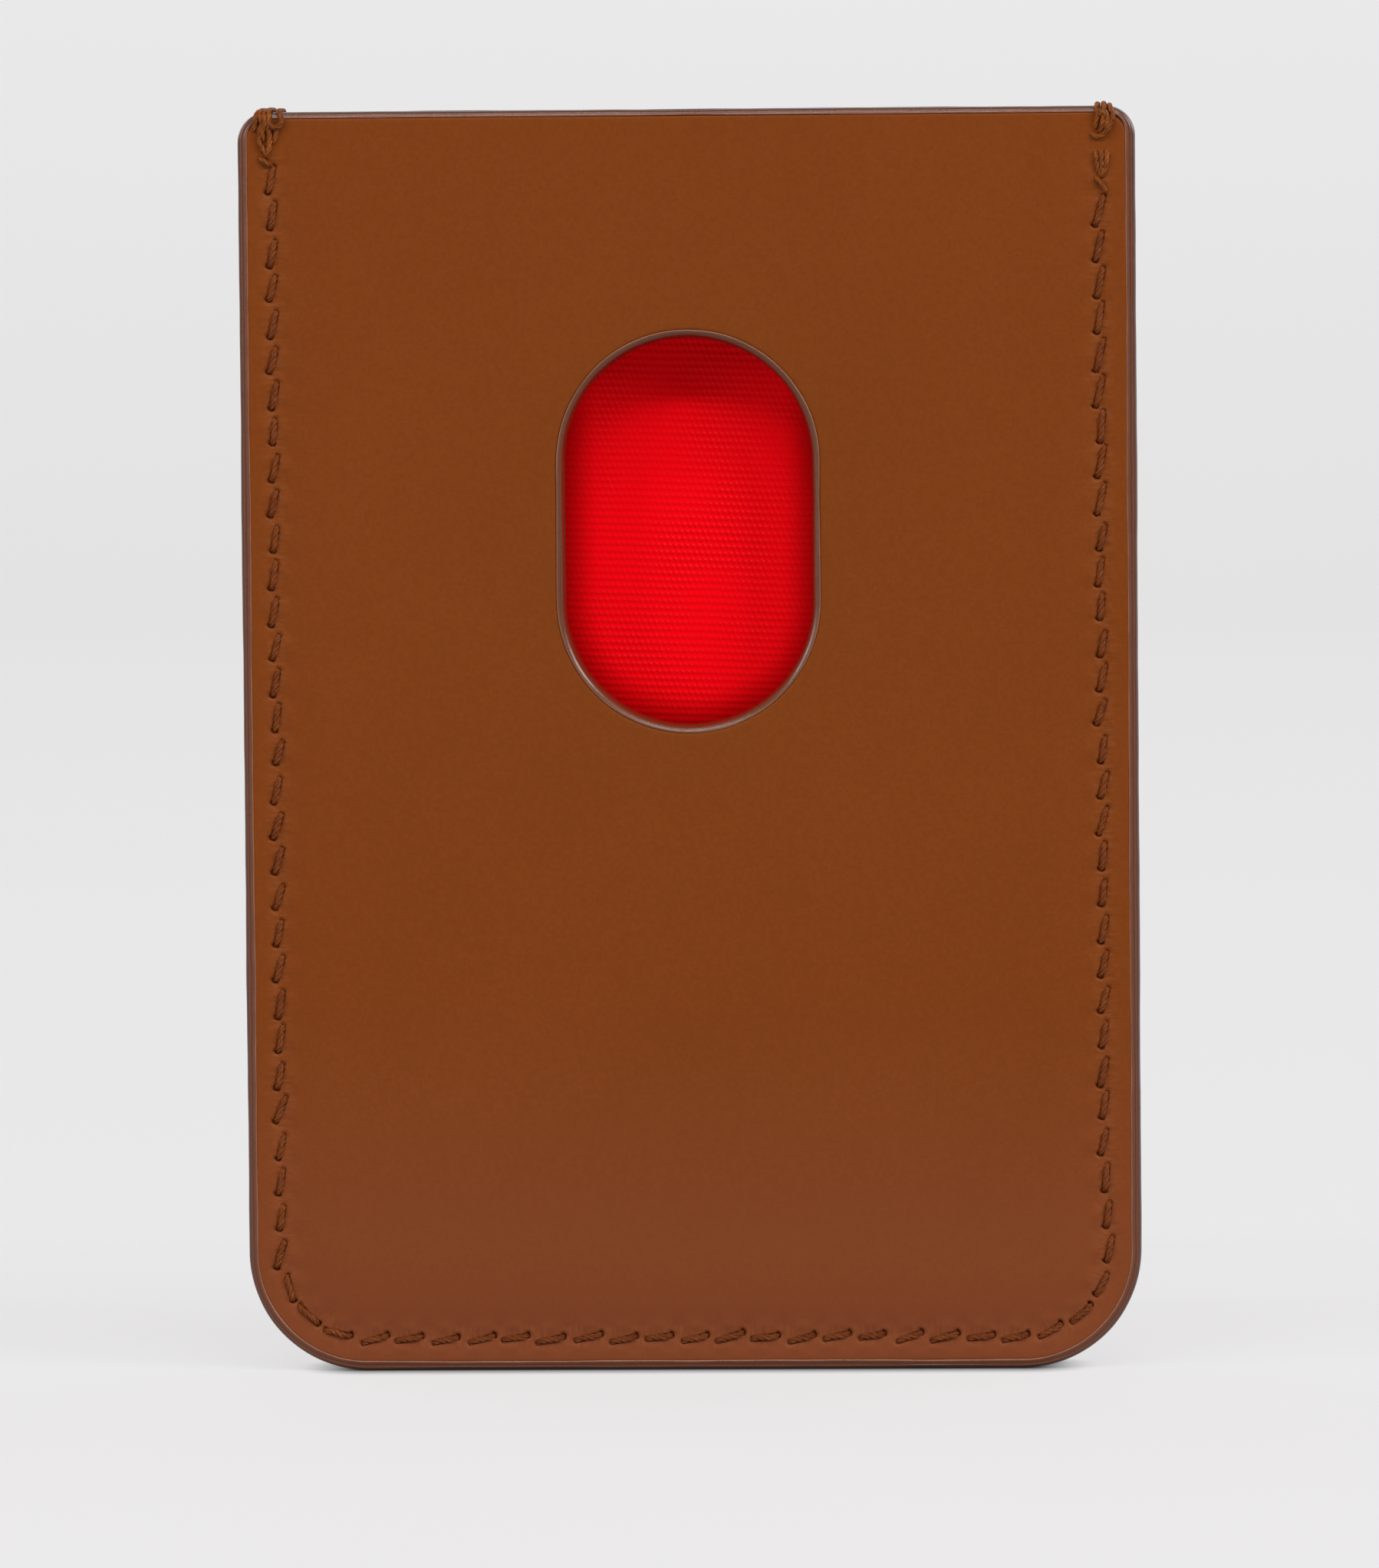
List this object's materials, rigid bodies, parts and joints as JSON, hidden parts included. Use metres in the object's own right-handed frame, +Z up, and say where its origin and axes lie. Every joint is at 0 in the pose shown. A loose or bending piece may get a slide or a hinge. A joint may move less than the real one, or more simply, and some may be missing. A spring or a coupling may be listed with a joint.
{
  "type": "card holder",
  "caption": "Slim upright sewn leather card holder: open at the top, with a thumb slot in one side that shows a red lining, and a ring of magnets round the slot.",
  "frame": {"origin": "middle of the painted bottom edge, which the holder stands on", "axes": "+Z up towards the open mouth, +X along the width, -Y out of the side with the thumb slot"},
  "size_m": [0.066, 0.006, 0.0934],
  "materials": {
    "tan_leather": "satin",
    "edge_paint": "semi-gloss",
    "brown_thread": "waxed twist",
    "red_lining": "ribbed weave",
    "bonded_board": "matt",
    "welt_leather": "matt",
    "magnet": "nickel plated",
    "shield_steel": "rolled"
  },
  "bodies": {
    "root": {"slot_panel_leather": "tan_leather", "slot_panel_magnet_board": "bonded_board", "ring_magnets": "magnet", "alignment_magnet": "magnet", "magnet_shield": "shield_steel", "slot_panel_lining": "red_lining", "left_welt": "welt_leather", "right_welt": "welt_leather", "bottom_welt": "welt_leather", "plain_panel_lining": "red_lining", "plain_panel_board": "bonded_board", "plain_panel_leather": "tan_leather", "slot_edge_paint": "edge_paint", "outer_edge_paint": "edge_paint", "slot_panel_mouth_paint": "edge_paint", "plain_panel_mouth_paint": "edge_paint", "slot_side_stitches": "brown_thread", "plain_side_stitches": "brown_thread", "left_bartack": "brown_thread", "right_bartack": "brown_thread"}
  },
  "joints": []
}
